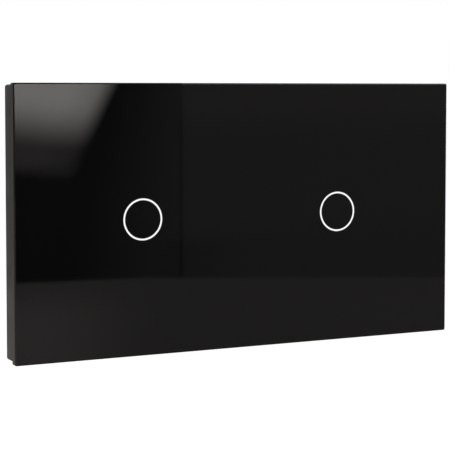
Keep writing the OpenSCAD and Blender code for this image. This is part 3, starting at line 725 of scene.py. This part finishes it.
def makeWorld(room):
    scene.world = bpy.data.worlds.new("softWhiteWorld")
    tree = emptyTree(scene.world)
    soft, white = (
        addNode(tree, "ShaderNodeBackground", {"Strength": strength, "Color": linear("#ffffff")})
        for strength in (room["ambient"], 1.0)
    )
    both = addNode(
        tree,
        "ShaderNodeMixShader",
        {},
        {0: seenDirectly(tree), 1: soft.outputs[0], 2: white.outputs[0]},
    )
    addNode(tree, "ShaderNodeOutputWorld", {}, {"Surface": both.outputs[0]})


def makeFloor(room):
    shape = bmesh.new()
    bmesh.ops.create_grid(shape, x_segments=1, y_segments=1, size=room["floorSize"] / 2)
    bmesh.ops.translate(shape, vec=Vector((0, 0, room["floorHeight"])), verts=shape.verts)
    mesh = meshFrom("paleFloor", shape)
    addObject("paleFloor", mesh)
    material = bpy.data.materials.new("palePaperFloor")
    tree = emptyTree(material)
    shine = addNode(
        tree,
        "ShaderNodeMath",
        {"operation": "MULTIPLY", 1: room["floorLift"]},
        {0: seenDirectly(tree)},
    )
    lift = addNode(
        tree, "ShaderNodeEmission", {"Color": linear("#ffffff")}, {"Strength": shine.outputs[0]}
    )
    paper = addNode(tree, "ShaderNodeBsdfDiffuse", {"Color": linear(room["floorColour"])})
    both = addNode(tree, "ShaderNodeAddShader", {}, {0: paper.outputs[0], 1: lift.outputs[0]})
    addNode(tree, "ShaderNodeOutputMaterial", {}, {"Surface": both.outputs[0]})
    mesh.materials.append(material)


def makeLamp(room):
    data = bpy.data.lights.new("broadLamp", "AREA")
    data.energy = room["lampEnergy"]
    data.size = room["lampSize"]
    lamp = addObject("broadLamp", data)
    lamp.location = room["lampPlace"]
    aim(lamp, -Vector(room["lampPlace"]))
    lamp.visible_glossy = False


makeWorld(studio)
makeFloor(studio)
makeLamp(studio)


# glowing card that only reflections see, painted with what the glass mirrors: a black flag, a softbox
# at its upper left, a paler wall on the right and a table below, with painted shade and painted light
# on wall and table; places in metres on the card, levels as brightness, and none and full where an
# effect sets in and where it is complete
mirrorCard = {
    "parts": {  # distance in front of the wall, lower left, upper right, cell
        "near": (0.609, (0.08, -0.2), (0.5, 0.08), 0.0015),
        "far": (0.61, (-3.0, -1.6), (3.5, 2.0), 0.02),
    },
    "colour": "#fffaf6",
    "flag": (0.053, 0.158),  # level at the left and at the right
    "flagSpan": (0.1877, 0.272, 0.2525),  # x on the left, lean of that side, x on the right
    "flagPower": 1.15,  # above 1 it pales later
    "farLeft": (-0.5, -0.9, 0.2),  # beyond the flag: x none, full, gain
    "wall": (0.187, 0.226),  # level low down and higher up
    "wallSpan": (0.0, 0.035),  # z of those two
    "wallEdge": (0.2515, 0.2575),  # x where flag turns to wall
    "seam": (0.2525, 0.0034, 0.05, 0.035, 0.01),  # painted dark line: x, width, depth, z none, full
    "corner": (0.033, 0.225, 0.258, 0.317, -0.069, -0.077),  # painted shade where wall meets table: depth, x none, full, none, z none, full
    "dusk": (0.9, -0.05, -0.085),  # painted shade low down: share that is left, z none, full
    "table": 0.255,
    "tableLine": (-0.0998, 0.22, -0.0175, -0.053),  # z and x where it bends, slope left, right
    "tableEdge": (0.001, -0.0022),  # from above that line to below it
    "tableGlow": (0.17, 0.24, 0.135, -0.09, -0.13),  # painted light on the table: gain, x none, full, z none, full
    "tableNear": (0.35, -0.25, -0.8),  # painted light, paler nearer: gain, z none, full
    "boxLight": 3.15,
    "boxTilt": (0.136, 0.139, -0.0127, 0.005, -0.019),  # lean, x that stays, z none, full, full
    "boxFoot": (0.105, -0.0295, -0.0085),  # share of a faint lower step, z none, full
    "boxRise": (-0.0035, 0.0385),  # z none, full of the rest
    "boxSide": (0.1731, 0.359, 2.43),  # x of its right side, lean, curve
    "boxEdge": (0.0108, -0.0108),  # none beyond that side, full within it
    "boxInner": (-0.006, -0.032, 0.2),  # softer fade inside: none, full, share
    "boxLeft": (-0.02, 0.06),  # x none, full
    "boxTop": (0.14, 0.09),  # z none, full
}

# card behind the left edge, glowing paler below as a painted reflection of a pale table, that the
# matt frame picks up softly
sideCard = {
    "part": (-0.012, (-0.3, -0.25), (-0.084, 0.25), 0.004),
    "levels": (0.78, 1.55),
    "levelSpan": (-0.014, -0.024),
}

# tall window panes to either side, which the glass mirrors when it is seen from elsewhere
windowPanes = {
    "middles": (-0.84, -0.54, 0.72, 1.02),
    "height": -0.1,
    "distance": 0.605,
    "size": (0.25, 0.9),
    "tilt": 12,
    "cell": 0.05,
    "levels": (1.1, 0.45),
    "levelSpan": (0.05, -0.55),
}

# dark flags over and under the switch, so that its bevelled edges stay dark
edgeFlags = {
    "upper": {"middle": (-0.08, 0, 0.5), "size": (0.52, 0.2), "level": 0.12},
    "lower": {"middle": (0.1, 0.02, -0.2), "size": (0.6, 0.16), "level": 0.1},
}


def ease(value, start, end):
    share = min(max((value - start) / (end - start), 0), 1)
    return share * share * (3 - 2 * share)


def mix(a, b, share):
    return a + (b - a) * share


def boxLevel(card, x, z):
    base, lean, curve = card["boxSide"]
    side = x - base - lean * z - curve * z * z
    start, end, share = card["boxInner"]
    inside = mix(ease(side, *card["boxEdge"]), ease(side, start, end), share)
    fade = ease(x, *card["boxLeft"]) * ease(z, *card["boxTop"])
    lean, middle, flat, above, below = card["boxTilt"]
    z += lean * (x - middle) * (ease(z, flat, above) + ease(z, flat, below))
    share, start, end = card["boxFoot"]
    level = mix(ease(z, *card["boxRise"]), ease(z, start, end), share)
    return card["boxLight"] * level * inside * fade


def cardLevel(card, x, z):
    left, lean, right = card["flagSpan"]
    left += lean * z
    share = min(max((x - left) / (right - left), 0), 1)
    flag = mix(*card["flag"], share ** card["flagPower"])
    x0, x1, gain = card["farLeft"]
    flag += gain * ease(x, x0, x1)
    wall = mix(*card["wall"], ease(z, *card["wallSpan"]))
    upper = mix(flag, wall, ease(x, *card["wallEdge"]))
    # painted shade on the painted wall: a dark seam, the wall-table corner and dimming low down
    seam, width, depth, z0, z1 = card["seam"]
    upper -= depth * ease(abs(x - seam), width, 0) * ease(z, z0, z1)
    depth, x0, x1, x2, z0, z1 = card["corner"]
    upper -= depth * ease(x, x0, x1) * ease(x, x2, x1) * ease(z, z0, z1)
    dim, z0, z1 = card["dusk"]
    upper *= mix(1, dim, ease(z, z0, z1))
    height, bend, slopeLeft, slopeRight = card["tableLine"]
    line = height + (slopeLeft if x < bend else slopeRight) * (x - bend)
    # painted light on the painted table
    gain, x0, x1, z0, z1 = card["tableGlow"]
    table = card["table"] + gain * ease(x, x0, x1) * ease(z, z0, z1)
    gain, z0, z1 = card["tableNear"]
    table += gain * ease(z, z0, z1)
    field = mix(upper, table, ease(z - line, *card["tableEdge"]))
    return max(field, boxLevel(card, x, z))


def heightLevel(card, z):
    return mix(*card["levels"], ease(z, *card["levelSpan"]))


def cardMaterial():
    material = bpy.data.materials.new("studioCard")
    tree = emptyTree(material)
    level = addNode(tree, "ShaderNodeAttribute", {"attribute_name": "level"})
    shine = addNode(
        tree,
        "ShaderNodeEmission",
        {"Color": linear(mirrorCard["colour"])},
        {"Strength": level.outputs["Fac"]},
    )
    addNode(tree, "ShaderNodeOutputMaterial", {}, {"Surface": shine.outputs[0]})
    return material


glowing = cardMaterial()
standing = Matrix.Rotation(math.radians(90), 4, "X")


# a card shows only in reflections
def addCard(name, size, cell, place, levelAt):
    shape = bmesh.new()
    columns, rows = (max(round(length / cell), 1) for length in size)
    bmesh.ops.create_grid(shape, x_segments=columns, y_segments=rows, size=0.5)
    bmesh.ops.scale(shape, vec=Vector((size[0], size[1], 1)), verts=shape.verts)
    bmesh.ops.transform(shape, matrix=place, verts=shape.verts)
    level = shape.verts.layers.float.new("level")
    for vert in shape.verts:
        vert[level] = levelAt(vert.co)
    mesh = meshFrom(name, shape)
    mesh.materials.append(glowing)
    card = addObject(name, mesh)
    for ray in ("camera", "diffuse", "transmission", "volume_scatter", "shadow"):
        setattr(card, "visible_" + ray, False)


def addUprightCard(name, part, levelAt):
    distance, low, high, cell = part
    size = (high[0] - low[0], high[1] - low[1])
    middle = Vector(((low[0] + high[0]) / 2, -distance, (low[1] + high[1]) / 2))
    addCard(name, size, cell, Matrix.Translation(middle) @ standing, levelAt)


for name, part in mirrorCard["parts"].items():
    addUprightCard(name + "MirrorCard", part, lambda at: cardLevel(mirrorCard, at.x, at.z))
addUprightCard("sideCard", sideCard["part"], lambda at: heightLevel(sideCard, at.z))
for i, x in enumerate(windowPanes["middles"]):
    place = Matrix.Translation((x, -windowPanes["distance"], windowPanes["height"]))
    place @= Matrix.Rotation(math.radians(math.copysign(windowPanes["tilt"], x)), 4, "Y")
    addCard(
        "windowPane%d" % i, windowPanes["size"], windowPanes["cell"], place @ standing,
        lambda at: heightLevel(windowPanes, at.z),
    )
for part, flag in edgeFlags.items():
    lying = Matrix.Translation(flag["middle"])
    addCard(part + "Flag", flag["size"], max(flag["size"]), lying, lambda at: flag["level"])
print("studio set")
